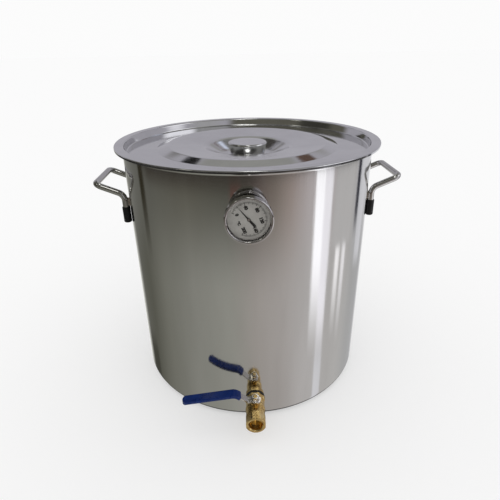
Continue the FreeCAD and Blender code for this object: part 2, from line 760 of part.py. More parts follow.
def strap_blank():
    """The strap before its stem hole is made."""
    radii = [0, STRAP_RISE_BEND, STRAP_CREST_BEND, 0]
    strip = band(lever_path(), radii, STRAP_SHEET, 2 * STRAP_ROOT_R)
    return strip.common(plan_outline())


def lever_strap():
    hole = driving_section(STRAP_BOTTOM - PAST, STRAP_SHEET + 2 * PAST)
    hole.rotate(ORIGIN, UP, -180 - LEVER_YAW)
    return strap_blank().cut(hole)


def grip_path():
    """Mid line of the vinyl sleeve, which follows the strap."""
    (_, _), (x1, z1), (x2, z2), (x3, z3) = lever_path()
    lift = STRAP_SHEET / 2
    rise = (z2 - z1) / (x2 - x1)
    start_z = z1 + rise * (GRIP_START - x1)
    drop = (z3 - z2) / (x3 - x2)
    end_z = z2 + drop * (GRIP_END - x2)
    return [(GRIP_START, start_z + lift), (x2, z2 + lift), (GRIP_END, end_z + lift)]


def lever_grip():
    half = GRIP_HEIGHT / 2
    low = offset_points(grip_path(), -half)
    sleeve = band(low, [0, GRIP_BEND, 0], GRIP_HEIGHT, GRIP_WIDTH)
    side_edges = [e for e in sleeve.Edges if e.BoundBox.YLength < 0.01
                  and e.BoundBox.XLength > GRIP_EDGE_ROUND]
    sleeve = sleeve.makeFillet(GRIP_EDGE_ROUND, side_edges)
    tip_r = GRIP_WIDTH / 2
    outline = Part.makeBox(GRIP_END - tip_r, GRIP_WIDTH, TALL, V(0, -tip_r, 0))
    outline = outline.fuse(Part.makeCylinder(tip_r, TALL, V(GRIP_END - tip_r, 0, 0)))
    return sleeve.common(outline).removeSplitter().cut(strap_blank())


def lever_washer():
    low = STRAP_BOTTOM + STRAP_SHEET
    return tube(STEM_THREAD_R + WASHER_FIT, LEVER_WASHER_R, low, low + LEVER_WASHER_H)


def lever_nut():
    low = STRAP_BOTTOM + STRAP_SHEET + LEVER_WASHER_H
    nut = chamfered_prism(6, LEVER_NUT_AF, low, low + LEVER_NUT_H, 0.7)
    return nut.cut(tube(0, STEM_THREAD_R, low - PAST, low + LEVER_NUT_H + PAST))


# ---- build --------------------------------------------------------------
def build_lid():
    save("lid_pan", lid_pan())
    save("lid_knob_shell", lid_knob_shell())
    save("lid_knob_core", lid_knob_core())
    save("lid_knob_screw", lid_knob_screw())
    save("lid_knob_washer", lid_knob_washer())


def build_handles():
    for side, name in ((-1, "left"), (1, "right")):
        save(f"handle_{name}", yawed(handle(side)))
        save(f"handle_{name}_welds", yawed(handle_welds(side)))
        save(f"handle_{name}_cap_front", yawed(handle_cap(side, -1)))
        save(f"handle_{name}_cap_rear", yawed(handle_cap(side, 1)))


def build_thermometer():
    pieces = {
        "thermometer_bushing": thermometer_bushing(),
        "thermometer_stem": thermometer_stem(),
        "thermometer_case": thermometer_case(),
        "thermometer_bezel": thermometer_bezel(),
        "thermometer_lens": thermometer_lens(),
        "thermometer_dial": thermometer_dial(),
        "thermometer_lens_ring": thermometer_lens_ring(),
        "thermometer_pointer": thermometer_pointer(),
        "thermometer_spindle": thermometer_spindle(),
        "thermometer_bimetal_coil": bimetal_coil(),
        "thermometer_outer_gasket": outer_gasket(THERMO_PLACE),
        "thermometer_inner_gasket": inner_gasket(THERMO_PLACE),
        "thermometer_locknut": locknut(),
    }
    for name, shape in pieces.items():
        save(name, face_front(shape, THERMO_PLACE))


def build_valve():
    along_flow = {
        "valve_tailpiece": valve_tailpiece(),
        "valve_body": valve_body(),
        "valve_seat_rear": valve_seat(-1),
        "valve_seat_front": valve_seat(1),
        "valve_outer_gasket": outer_gasket(VALVE_PLACE),
        "valve_inner_gasket": inner_gasket(VALVE_PLACE),
        "valve_locknut": locknut(),
    }
    for name, shape in along_flow.items():
        save(name, face_front(shape, VALVE_PLACE))
    on_stem = {
        "valve_packing": valve_packing(),
        "valve_gland": valve_gland(),
        "valve_ball": valve_ball(),
        "valve_stem": valve_stem(),
        "lever_washer": lever_washer(),
        "lever_nut": lever_nut(),
    }
    for name, shape in on_stem.items():
        save(name, at_stem(shape))
    save("lever_strap", clocked(lever_strap()))
    save("lever_grip", clocked(lever_grip()))


os.makedirs("parts", exist_ok=True)
save("kettle_shell", kettle_shell())
build_lid()
build_handles()
build_thermometer()
build_valve()
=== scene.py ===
"""Looks of the brew kettle: high resolution sheet metal, printed dial, materials, light and camera.

Metres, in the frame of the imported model: +Z up, the front with valve and dial faces -Y.
"""
import json
import math

import bmesh
import bpy
from mathutils import Matrix, Vector


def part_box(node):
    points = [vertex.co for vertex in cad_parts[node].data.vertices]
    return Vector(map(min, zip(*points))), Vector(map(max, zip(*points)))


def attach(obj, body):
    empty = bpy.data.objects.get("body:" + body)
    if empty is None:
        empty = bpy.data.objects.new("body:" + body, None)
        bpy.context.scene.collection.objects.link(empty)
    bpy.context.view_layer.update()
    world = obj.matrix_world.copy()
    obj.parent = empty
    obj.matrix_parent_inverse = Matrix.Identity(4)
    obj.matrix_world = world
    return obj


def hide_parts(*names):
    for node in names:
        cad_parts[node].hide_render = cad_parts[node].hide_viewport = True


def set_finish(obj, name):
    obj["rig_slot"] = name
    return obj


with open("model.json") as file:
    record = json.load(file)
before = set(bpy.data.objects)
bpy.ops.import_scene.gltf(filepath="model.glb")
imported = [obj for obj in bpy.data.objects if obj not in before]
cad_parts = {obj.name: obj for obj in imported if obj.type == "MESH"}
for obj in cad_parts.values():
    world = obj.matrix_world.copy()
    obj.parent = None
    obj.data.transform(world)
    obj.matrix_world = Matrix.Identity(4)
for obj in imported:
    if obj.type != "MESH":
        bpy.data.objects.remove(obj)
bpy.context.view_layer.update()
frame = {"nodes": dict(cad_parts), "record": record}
NODES = frame["nodes"]
MM = 0.001


# ---- sizes, in millimetres, of the sheet metal that is rebuilt here --------------------------
WALL_R = 180.0
WALL_SHEET = 0.9
BASE_ROUND = 13.5
FLARE = 5.5
RIM_Z = 369.95
BEAD_R = 1.5
BEAD_RING_R = 187.6
BEAD_Z = 370.4

LID_SHEET = 0.8
LID_R = 190.7
LID_TOP = 373.0
LID_EDGE_DROP = 3.4            # how far the flange's edge is turned down
TROUGH_Z = 362.3
DISH_Z = 345.5
SCREW_HOLE_R = 2.7

KNOB_SHEET = 1.0
KNOB_TOP = 366.7

# Faces of the sheets as rows of radius, height and bend radius: the pot's outside from the axis to the rim,
# the lid's upper side from its edge to the screw hole, and the knob's outside from its foot to the axis
WALL_PROFILE = [(0, 0, 0), (WALL_R, 0, BASE_ROUND), (WALL_R, RIM_Z, FLARE), (BEAD_RING_R, RIM_Z, 0)]
LID_PROFILE = [(LID_R, LID_TOP - LID_EDGE_DROP, 0),
               (LID_R, LID_TOP, 1.2),
               (177.8, LID_TOP, 2.4),         # the flange turns down into the recess
               (175.2, TROUGH_Z, 2.0),
               (133.0, TROUGH_Z, 4.0),        # the step up to the plateau
               (116.0, 367.1, 10.0),
               (62.2, 361.9, 28.0),           # the plateau turns down into the dish
               (34.0, DISH_Z, 44.0),
               (SCREW_HOLE_R, DISH_Z, 0)]
KNOB_PROFILE = [(24.5, DISH_Z, 0), (29.5, KNOB_TOP, 2.4), (0.0, KNOB_TOP, 0)]

SEGMENTS = 384                 # around each turned piece
BEAD_STEPS = 24                # around the bead's section
ARC_STEP = math.radians(7)     # longest step along a bend
LEAST_BEND = 0.05              # on the inner side of a sharp bend
SHARP_EDGE = math.radians(38)  # edges sharper than this stay crisp
TINY = 1e-6                    # lengths and angles below this count as none

# ---- sizes of the dial's print, in millimetres from its centre -------------------------------
# Angles are in degrees, counter-clockwise from +X towards +Z
DIAL_TURN = -68.0              # how far the thermometer is screwed round
SCALE_START = 225.0            # of 0 degrees Celsius, before that turn
SCALE_SWEEP = 270.0
SCALE_MAX = 200
PRINT_H = 0.03
TICK_END = 21.0
TICKS = [(40, 17.6, 0.70), (10, 18.2, 0.54), (2, 19.1, 0.34)]     # degrees Celsius apart, inner end, width
NUMERAL_STEP = 40
NUMERAL_H = 3.6
NUMERAL_RING = 14.4
UNIT_H = 3.0
UNIT_Y = -12.3
CAPITAL = 0.70                 # height of a capital letter, as a share of the font's size
BOLDER = 0.42                  # how far the letters' outlines are pushed out
LETTER_STEPS = 4               # along each curve of a letter


# ---- meshes -----------------------------------------------------------------------------------
def direction(a, b):
    length = math.hypot(b[0] - a[0], b[1] - a[1])
    return (b[0] - a[0]) / length, (b[1] - a[1]) / length


def rounded(points, radii):
    """Points along an open path whose corners are replaced by arcs."""
    made = [points[0]]
    for i in range(1, len(points) - 1):
        ax, az = direction(points[i - 1], points[i])
        bx, bz = direction(points[i], points[i + 1])
        turn = math.atan2(ax * bz - az * bx, ax * bx + az * bz)
        if radii[i] == 0 or abs(turn) < TINY:
            made.append(points[i])
            continue
        reach = radii[i] * math.tan(abs(turn) / 2)
        side = math.copysign(1, turn)
        start = (points[i][0] - ax * reach, points[i][1] - az * reach)
        centre = (start[0] - az * radii[i] * side, start[1] + ax * radii[i] * side)
        dx = start[0] - centre[0]
        dz = start[1] - centre[1]
        steps = max(2, math.ceil(abs(turn) / ARC_STEP))
        for k in range(steps + 1):
            angle = turn * k / steps
            made.append((centre[0] + dx * math.cos(angle) - dz * math.sin(angle),
                         centre[1] + dx * math.sin(angle) + dz * math.cos(angle)))
    made.append(points[-1])
    return made


def offset(points, distance):
    """The same open path, moved to its left."""
    moved = []
    for i, (x, z) in enumerate(points):
        sides = []
        if i > 0:
            dx, dz = direction(points[i - 1], points[i])
            sides.append((-dz, dx))
        if i < len(points) - 1:
            dx, dz = direction(points[i], points[i + 1])
            sides.append((-dz, dx))
        nx = sum(s[0] for s in sides) / len(sides)
        nz = sum(s[1] for s in sides) / len(sides)
        scale = distance / (nx * nx + nz * nz)
        moved.append((x + nx * scale, z + nz * scale))
    return moved


def sheet_outline(profile, thickness):
    """Closed section of a bent sheet whose right-hand face follows the profile."""
    points = [(r, z) for r, z, bend in profile]
    bends = [bend for r, z, bend in profile]
    left_bends = list(bends)
    for i in range(1, len(points) - 1):
        ax, az = direction(points[i - 1], points[i])
        bx, bz = direction(points[i], points[i + 1])
        side = math.copysign(1, ax * bz - az * bx)
        if bends[i]:
            left_bends[i] = max(bends[i] - thickness * side, LEAST_BEND)
    return rounded(points, bends) + rounded(offset(points, thickness), left_bends)[::-1]


def bead_outline():
    turns = [2 * math.pi * k / BEAD_STEPS for k in range(BEAD_STEPS)]
    return [(BEAD_RING_R + BEAD_R * math.cos(a), BEAD_Z + BEAD_R * math.sin(a)) for a in turns]


def add_lathe(made, outline):
    """Turn a closed outline of (radius, height) in millimetres about Z into a bmesh."""
    rings = []
    for r, z in outline:
        ring = []
        for k in range(1 if r < TINY else SEGMENTS):
            a = 2 * math.pi * k / SEGMENTS
            ring.append(made.verts.new((r * MM * math.cos(a), r * MM * math.sin(a), z * MM)))
        rings.append(ring)
    for low, high in zip(rings, rings[1:] + rings[:1]):
        for k in range(SEGMENTS):
            n = (k + 1) % SEGMENTS
            if len(low) > 1 and len(high) > 1:
                made.faces.new((low[k], low[n], high[n], high[k]))
            elif len(low) > 1:
                made.faces.new((low[k], low[n], high[0]))
            elif len(high) > 1:
                made.faces.new((low[0], high[n], high[k]))


def finish_mesh(name, made):
    """A smooth-shaded object from a bmesh, with its sharp edges kept crisp."""
    bmesh.ops.recalc_face_normals(made, faces=made.faces)
    for face in made.faces:
        face.smooth = True
    for edge in made.edges:
        edge.smooth = len(edge.link_faces) == 2 and edge.calc_face_angle(0) < SHARP_EDGE
    mesh = bpy.data.meshes.new(name)
    made.to_mesh(mesh)
    made.free()
    piece = bpy.data.objects.new(name, mesh)
    bpy.context.scene.collection.objects.link(piece)
    weigh = piece.modifiers.new("weighted_normals", "WEIGHTED_NORMAL")
    weigh.keep_sharp = True
    return piece


def kettle_wall():
    made = bmesh.new()
    add_lathe(made, sheet_outline(WALL_PROFILE, WALL_SHEET))
    add_lathe(made, bead_outline())
    piece = finish_mesh("kettle_wall", made)
    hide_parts("kettle_shell")
    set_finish(piece, "wall_steel")
    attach(piece, "kettle")
    return piece


def lid_sheet():
    made = bmesh.new()
    add_lathe(made, sheet_outline(LID_PROFILE, LID_SHEET))
    piece = finish_mesh("lid_sheet", made)
    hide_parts("lid_pan")
    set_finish(piece, "lid_steel")
    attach(piece, "lid")
    return piece


def lid_knob():
    made = bmesh.new()
    add_lathe(made, sheet_outline(KNOB_PROFILE, KNOB_SHEET))
    piece = finish_mesh("lid_knob", made)
    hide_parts("lid_knob_shell")
    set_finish(piece, "lid_steel")
    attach(piece, "lid")
    return piece


# ---- the printed dial -------------------------------------------------------------------------
def dial_frame():
    """Matrix from the dial's own upright plane (X right, Y up, Z out) to the row frame."""
    low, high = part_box("thermometer_dial")
    centre = Vector(((low.x + high.x) / 2, low.y, (low.z + high.z) / 2))
    upright = Matrix.Rotation(math.radians(90), 4, "X")
    turn = Matrix.Rotation(math.radians(DIAL_TURN), 4, "Z")
    return Matrix.Translation(centre) @ upright @ turn


def scale_angle(value):
    return SCALE_START - SCALE_SWEEP * value / SCALE_MAX


def add_text(made, words, height, centre, matrix):
    """Printed words, centred on a point of the dial."""
    curve = bpy.data.curves.new("words", "FONT")
    curve.body = words
    curve.size = height * MM / CAPITAL
    curve.align_x = "CENTER"
    curve.align_y = "CENTER"
    curve.extrude = PRINT_H * MM / 2
    curve.offset = BOLDER * MM
    curve.resolution_u = LETTER_STEPS
    holder = bpy.data.objects.new("words", curve)
    bpy.context.scene.collection.objects.link(holder)
    bpy.context.view_layer.update()
    mesh = bpy.data.meshes.new_from_object(holder.evaluated_get(bpy.context.evaluated_depsgraph_get()))
    place = Matrix.Translation((centre[0] * MM, centre[1] * MM, PRINT_H * MM / 2))
    mesh.transform(matrix @ place)
    made.from_mesh(mesh)
    bpy.data.objects.remove(holder)
    bpy.data.meshes.remove(mesh)
    bpy.data.curves.remove(curve)


def tick_at(value):
    """Inner end and width of the coarsest kind of tick that falls on a value."""
    for apart, inner, width in TICKS:
        if value % apart == 0:
            return inner, width


def add_tick(made, value, matrix):
    """Printed tick at a value."""
    inner, width = tick_at(value)
    turn = Matrix.Rotation(math.radians(scale_angle(value)), 4, "Z")
    half = width / 2
    corners = []
    for z in (0, PRINT_H):
        for x, y in ((inner, -half), (TICK_END, -half), (TICK_END, half), (inner, half)):
            corners.append(made.verts.new(matrix @ turn @ Vector((x * MM, y * MM, z * MM))))
    for face in ((3, 2, 1, 0), (4, 5, 6, 7), (0, 1, 5, 4), (1, 2, 6, 5), (2, 3, 7, 6), (3, 0, 4, 7)):
        made.faces.new([corners[i] for i in face])


def dial_print():
    made = bmesh.new()
    matrix = dial_frame()
    for value in range(0, SCALE_MAX + 1, TICKS[-1][0]):
        add_tick(made, value, matrix)
    for value in range(0, SCALE_MAX + 1, NUMERAL_STEP):
        a = math.radians(scale_angle(value))
        centre = (NUMERAL_RING * math.cos(a), NUMERAL_RING * math.sin(a))
        add_text(made, str(value), NUMERAL_H, centre, matrix)
    add_text(made, "°C", UNIT_H, (0, UNIT_Y), matrix)
    piece = finish_mesh("dial_print", made)
    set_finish(piece, "pointer_black")
    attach(piece, "kettle")
    return piece


# ---- shader nodes -----------------------------------------------------------------------------
def node(tree, kind, inputs=None, **settings):
    """A shader node with its settings, and its inputs set or linked."""
    made = tree.nodes.new(kind)
    for name, value in settings.items():
        setattr(made, name, value)
    for socket, value in (inputs or {}).items():
        if isinstance(value, bpy.types.NodeSocket):
            tree.links.new(value, made.inputs[socket])
        else:
            made.inputs[socket].default_value = value
    return made


def new_material(name, **shader):
    """A material with one Principled shader; returns the material, its tree and the shader."""
    material = bpy.data.materials.new(name)
    material.use_nodes = True
    tree = material.node_tree
    tree.nodes.clear()
    surface = node(tree, "ShaderNodeBsdfPrincipled", shader)
    node(tree, "ShaderNodeOutputMaterial", {"Surface": surface.outputs[0]})
    return material, tree, surface


def place_scaled(tree, scale=(1, 1, 1)):
    where = node(tree, "ShaderNodeTexCoord")
    return node(tree, "ShaderNodeMapping", {"Vector": where.outputs["Object"], "Scale": scale}).outputs[0]


def ring_distance(tree):
    """Distance from the kettle's axis."""
    where = node(tree, "ShaderNodeTexCoord")
    flat = node(tree, "ShaderNodeVectorMath", {0: where.outputs["Object"], 1: (1, 1, 0)},
                operation="MULTIPLY")
    return node(tree, "ShaderNodeVectorMath", {0: flat.outputs[0]}, operation="LENGTH").outputs["Value"]


def noise(tree, where, scale, detail=3.0, rough=0.6):
    made = node(tree, "ShaderNodeTexNoise",
                {"Vector": where, "Scale": scale, "Detail": detail, "Roughness": rough})
    return made.outputs["Fac"]


def spread(tree, value, low, high, start=0.3, end=0.7):
    """Map a value from start..end to low..high."""
    made = node(tree, "ShaderNodeMapRange", {"Value": value, "From Min": start, "From Max": end,
                                             "To Min": low, "To Max": high})
    return made.outputs[0]


def rise(tree, value, start, end):
    """0 before start and 1 after end, smooth between; falls instead if start is after end."""
    made = node(tree, "ShaderNodeMapRange", {"Value": value, "From Min": start, "From Max": end},
                interpolation_type="SMOOTHSTEP")
    return made.outputs[0]


def plus(tree, first, second):
    return node(tree, "ShaderNodeMath", {0: first, 1: second}, operation="ADD").outputs[0]


def times(tree, first, second):
    return node(tree, "ShaderNodeMath", {0: first, 1: second}, operation="MULTIPLY").outputs[0]


def tint(tree, value, stops):
    """Colour ramp; stops are (position, (r, g, b))."""
    made = node(tree, "ShaderNodeValToRGB", {"Fac": value})
    ramp = made.color_ramp
    while len(ramp.elements) < len(stops):
        ramp.elements.new(0.5)
    for element, (position, colour) in zip(ramp.elements, stops):
        element.position = position
        element.color = (*colour, 1)
    return made.outputs["Color"]


def over(tree, below, above, share):
    """Colour above laid over colour below."""
    made = node(tree, "ShaderNodeMix", {"Factor": share}, data_type="RGBA")
    for socket, value in (("A", below), ("B", above)):
        colour = next(s for s in made.inputs if s.name == socket and s.type == "RGBA")
        if isinstance(value, bpy.types.NodeSocket):
            tree.links.new(value, colour)
        else:
            colour.default_value = (*value, 1)
    return next(s for s in made.outputs if s.type == "RGBA")


def link(tree, output, surface, socket):
    tree.links.new(output, surface.inputs[socket])


def bump(tree, surface, height, strength, distance=0.0004):
    made = node(tree, "ShaderNodeBump", {"Height": height, "Strength": strength, "Distance": distance})
    link(tree, made.outputs[0], surface, "Normal")


def grain_round_axis(tree, surface):
    """Turn the grain's direction with the place round the kettle's axis."""
    tangent = node(tree, "ShaderNodeTangent", direction_type="RADIAL", axis="Z")
    link(tree, tangent.outputs[0], surface, "Tangent")


# ---- materials --------------------------------------------------------------------------------
# Metals: colour, roughness, and how fine and how deep the grain is
METALS = {"plain_steel": ((0.62, 0.61, 0.60), 0.16, 350, 0.05),
          "rod_steel": ((0.58, 0.575, 0.56), 0.06, 350, 0.05),
          "chrome": ((0.62, 0.605, 0.61), 0.07, 200, 0.08),
          "strap_steel": ((0.80, 0.77, 0.74), 0.12, 380, 0.30)}
# Plastics and enamels: darkest and lightest colour, roughness, and how fine and how deep the grain is
PLASTICS = {"black_cap": ((0.003, 0.003, 0.003), (0.008, 0.008, 0.008), 0.38, 500, 0.10),
            "ptfe": ((0.80, 0.80, 0.78), (0.88, 0.88, 0.86), 0.35, 300, 0.05),
            "silicone": ((0.02, 0.02, 0.02), (0.035, 0.034, 0.033), 0.55, 400, 0.08),
            # dial_paint stands for white enamel in shade: painted shade darkens it to grey
            "dial_paint": ((0.29, 0.282, 0.262), (0.345, 0.336, 0.312), 0.45, 300, 0.03),
            "pointer_black": ((0.003, 0.003, 0.004), (0.007, 0.007, 0.008), 0.40, 400, 0.05)}
# The duller ring in the lid's dish, in millimetres from the axis: starts, is full, is still full, ends
DULL_RING = (31, 35, 58, 64)


def wall_steel():
    """Rolled sheet: fine vertical streaks, slight waviness, reflections drawn out vertically."""
    material, tree, surface = new_material("wall_steel", **{"Metallic": 1.0, "Anisotropic": 0.55,
                                                            "Anisotropic Rotation": 0.25})
    streaks = noise(tree, place_scaled(tree, (1, 1, 0.012)), 900)
    patches = noise(tree, place_scaled(tree, (1, 1, 0.18)), 16, rough=0.55)
    link(tree, tint(tree, patches, [(0.3, (0.56, 0.555, 0.545)), (0.7, (0.64, 0.635, 0.63))]),
         surface, "Base Color")
    roughness = spread(tree, plus(tree, streaks, patches), 0.06, 0.12, start=0.8, end=1.2)
    link(tree, roughness, surface, "Roughness")
    grain_round_axis(tree, surface)
    bump(tree, surface, streaks, 0.05)
    return material


def lid_steel():
    """Spun sheet: fine rings about the axis, and a duller finish in the dish."""
    material, tree, surface = new_material("lid_steel", **{"Metallic": 1.0, "Anisotropic": 0.35,
                                                           "Anisotropic Rotation": 0.25})
    out = ring_distance(tree)
    rings = node(tree, "ShaderNodeTexNoise", {"W": out, "Scale": 1400.0, "Detail": 2.0},
                 noise_dimensions="1D").outputs["Fac"]
    patches = noise(tree, place_scaled(tree), 22, rough=0.55)
    link(tree, tint(tree, patches, [(0.3, (0.60, 0.60, 0.61)), (0.7, (0.68, 0.68, 0.69))]),
         surface, "Base Color")
    starts, full, still_full, ends = (radius * MM for radius in DULL_RING)
    in_dish = times(tree, rise(tree, out, starts, full), rise(tree, out, ends, still_full))
    roughness = plus(tree, spread(tree, patches, 0.06, 0.11), times(tree, in_dish, 0.09))
    link(tree, roughness, surface, "Roughness")
    grain_round_axis(tree, surface)
    bump(tree, surface, rings, 0.04, distance=0.0003)
    return material


def turned_steel(name, colour, roughness, grain, depth):
    """Polished or turned metal with a little uneven polish."""
    material, tree, surface = new_material(name, **{"Metallic": 1.0})
    dark = tuple(0.86 * c for c in colour)
    patches = noise(tree, place_scaled(tree), 90)
    link(tree, tint(tree, patches, [(0.3, dark), (0.7, colour)]), surface, "Base Color")
    link(tree, spread(tree, patches, roughness * 0.75, roughness * 1.3), surface, "Roughness")
    bump(tree, surface, noise(tree, place_scaled(tree), grain, detail=2.0, rough=0.5), depth)
    return material


def weld_steel():
    """Brushed weld bead: ripples, with heat colours left in places."""
    material, tree, surface = new_material("weld_steel", **{"Metallic": 1.0})
    patches = noise(tree, place_scaled(tree), 260, detail=4.0)
    link(tree, tint(tree, patches, [(0.3, (0.20, 0.17, 0.14)), (0.55, (0.42, 0.37, 0.31)),
                                    (0.75, (0.55, 0.54, 0.53))]), surface, "Base Color")
    link(tree, spread(tree, patches, 0.28, 0.5), surface, "Roughness")
    wave = node(tree, "ShaderNodeTexWave", {"Vector": place_scaled(tree, (0, 0, 1)), "Scale": 110.0,
                                            "Distortion": 1.5}, bands_direction="Z").outputs["Fac"]
    bump(tree, surface, wave, 0.6, distance=0.0005)
    return material


def brass():
    """Forged brass, sand-blasted fine, with tarnish in broad patches."""
    material, tree, surface = new_material("brass", **{"Metallic": 1.0})
    patches = noise(tree, place_scaled(tree), 75, detail=4.0)
    link(tree, tint(tree, patches, [(0.30, (0.40, 0.25, 0.085)), (0.48, (0.66, 0.47, 0.19)),
                                    (0.70, (0.88, 0.70, 0.36))]), surface, "Base Color")
    link(tree, spread(tree, patches, 0.32, 0.17), surface, "Roughness")
    bump(tree, surface, noise(tree, place_scaled(tree), 420), 0.22)
    return material


def blue_vinyl():
    """Dipped vinyl: deep blue, glossy, with a faint orange-peel skin."""
    material, tree, surface = new_material("blue_vinyl", **{"Specular IOR Level": 0.35, "IOR": 1.5})
    patches = noise(tree, place_scaled(tree), 70)
    link(tree, tint(tree, patches, [(0.3, (0.001, 0.011, 0.085)), (0.7, (0.0015, 0.021, 0.14))]),
         surface, "Base Color")
    link(tree, spread(tree, patches, 0.24, 0.36), surface, "Roughness")
    bump(tree, surface, noise(tree, place_scaled(tree), 300), 0.12, distance=0.0006)
    return material


def plastic(name, dark, light, roughness, grain, depth):
    """Moulded plastic, rubber or enamel with a fine grain."""
    material, tree, surface = new_material(name, **{"IOR": 1.48, "Specular IOR Level": 0.3})
    patches = noise(tree, place_scaled(tree), 130)
    link(tree, tint(tree, patches, [(0.3, dark), (0.7, light)]), surface, "Base Color")
    link(tree, spread(tree, patches, roughness * 0.8, roughness * 1.2), surface, "Roughness")
    bump(tree, surface, noise(tree, place_scaled(tree), grain), depth)
    return material


def lens_glass():
    """Thin clear pane: almost transparent, with a faint mirror reflection."""
    material, tree, surface = new_material("lens_glass", **{"Metallic": 1.0, "Alpha": 0.035})
    smears = noise(tree, place_scaled(tree), 60)
    link(tree, tint(tree, smears, [(0.3, (0.90, 0.92, 0.92)), (0.7, (1, 1, 1))]), surface, "Base Color")
    link(tree, spread(tree, smears, 0.01, 0.08), surface, "Roughness")
    return material


def make_materials():
    """Every slot's material."""
    materials = {"wall_steel": wall_steel(), "lid_steel": lid_steel(), "weld_steel": weld_steel(),
                 "brass": brass(), "blue_vinyl": blue_vinyl(), "lens_glass": lens_glass()}
    for name, look in METALS.items():
        materials[name] = turned_steel(name, *look)
    for name, look in PLASTICS.items():
        materials[name] = plastic(name, *look)
    return materials


def dress(pieces, materials):
    """Give every CAD node and new piece the material of its slot."""
    slot_of = {row["node"]: row["material_slot"] for row in frame["record"]["subparts"]}
    for name, cad_node in NODES.items():
        cad_node.data.materials.clear()
        cad_node.data.materials.append(materials[slot_of[name]])
    for piece in pieces:
        piece.data.materials.append(materials[piece["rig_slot"]])


# ---- stage: camera, floor, and what shiny faces see -------------------------------------------
EYE = Vector((0.00009, -0.62697, 0.49152))
LENS = 29.94                   # millimetres
SENSOR = 36                    # its width, in millimetres
PITCH, YAW, ROLL = 0.4523, -0.0016, -0.0175     # radians

FLOOR_HALF = 40                # metres from the middle to a side
TABLE_HALF = 3
TABLE_Z = -0.001
TABLE_GREY = (0.50, 0.49, 0.49)
# Painted shade on the table close to the kettle, full within DARK_TO and gone by GREY_FROM
TABLE_PAINTED_SHADE = (0.07, 0.07, 0.065)
DARK_TO, GREY_FROM = 0.20, 0.40     # metres from the axis

FAN_EDGE = 82                  # how far round the wall, in degrees, the mirrored table is laid out
FAN_STEP = 2
ROWS = 34                      # up the wall
ROW_STEP = 12                  # millimetres
FIRST_ROW = 0.5                # lowest row's height, in millimetres
FAR_START, FAR_FULL = 200, 365      # heights on the wall, in millimetres, that mirror the farther table

# Painted reflections: what the table shows to the wall, by degrees round the wall (0 at the front, + to the
# right)
PAINTED_REFLECTION_NEAR = [(-82, (0.95, 0.95, 0.92)), (-74, (1.25, 1.25, 1.22)), (-68, (0.66, 0.66, 0.62)),
              (-62, (0.15, 0.15, 0.13)), (-52, (0.14, 0.14, 0.115)), (-40, (0.25, 0.25, 0.215)),
              (-24, (0.345, 0.345, 0.31)), (-8, (0.41, 0.41, 0.37)), (2, (0.47, 0.44, 0.41)),
              (14, (0.53, 0.50, 0.48)), (24, (0.62, 0.60, 0.59)), (46, (0.64, 0.63, 0.62)),
              (54, (0.53, 0.53, 0.53)), (64, (0.47, 0.47, 0.48)), (69, (0.74, 0.74, 0.75)),
              (75, (0.86, 0.86, 0.88)), (82, (0.70, 0.70, 0.72))]
# The same painted reflections for the wall's higher part, which mirrors the table farther away
PAINTED_REFLECTION_FAR = [(-82, (0.75, 0.75, 0.72)), (-72, (0.70, 0.70, 0.66)), (-66, (0.26, 0.26, 0.23)),
             (-60, (0.22, 0.22, 0.20)), (-44, (0.15, 0.15, 0.13)), (-24, (0.15, 0.145, 0.115)),
             (-8, (0.11, 0.11, 0.09)), (2, (0.13, 0.10, 0.09)), (10, (0.24, 0.20, 0.17)),
             (16, (0.42, 0.35, 0.32)), (24, (0.66, 0.61, 0.62)), (48, (0.60, 0.58, 0.58)),
             (54, (0.72, 0.73, 0.78)), (64, (0.76, 0.76, 0.79)), (72, (0.98, 0.97, 1.00)),
             (82, (0.84, 0.84, 0.88))]
# Bands of painted reflection on it, the bright ones painted highlights and the dark ones painted dark
# streaks: from and to degrees, softness, heights in millimetres where it starts and is full, colour
PAINTED_REFLECTION_BANDS = [(-62.5, -54.0, 1.5, 110, 50, (0.075, 0.075, 0.06)),
               (30.3, 34.6, 0.5, 140, 60, (0.88, 0.88, 0.92)),
               (54.4, 61.0, 0.6, 195, 235, (0.80, 0.80, 0.84)),
               (26.0, 34.2, 0.4, 80, 270, (1.65, 1.65, 1.72)),
               (30.3, 34.2, 0.4, 60, 200, (1.30, 1.28, 1.36)),
               (38.6, 41.2, 0.5, 100, 245, (1.40, 1.38, 1.41)),
               (43.0, 45.4, 0.5, 80, 245, (1.24, 1.22, 1.26)),
               (36.0, 48.0, 1.0, 250, 262, (0.67, 0.66, 0.66)),
               (50.8, 53.6, 0.5, 250, 305, (0.045, 0.045, 0.06)),
               (-49.6, -46.2, 0.6, 215, 345, (0.04, 0.035, 0.022)),
               (-6.6, -2.8, 0.5, 316, 345, (0.18, 0.09, 0.075)),
               (-45.0, 2.0, 4.0, 335, 362, (0.075, 0.066, 0.054)),
               (-60.0, 50.0, 3.0, 363, 367, (0.02, 0.02, 0.02))]

WHITE = (0.97, 0.97, 0.97, 1)     # the even light that everything but a reflection sees
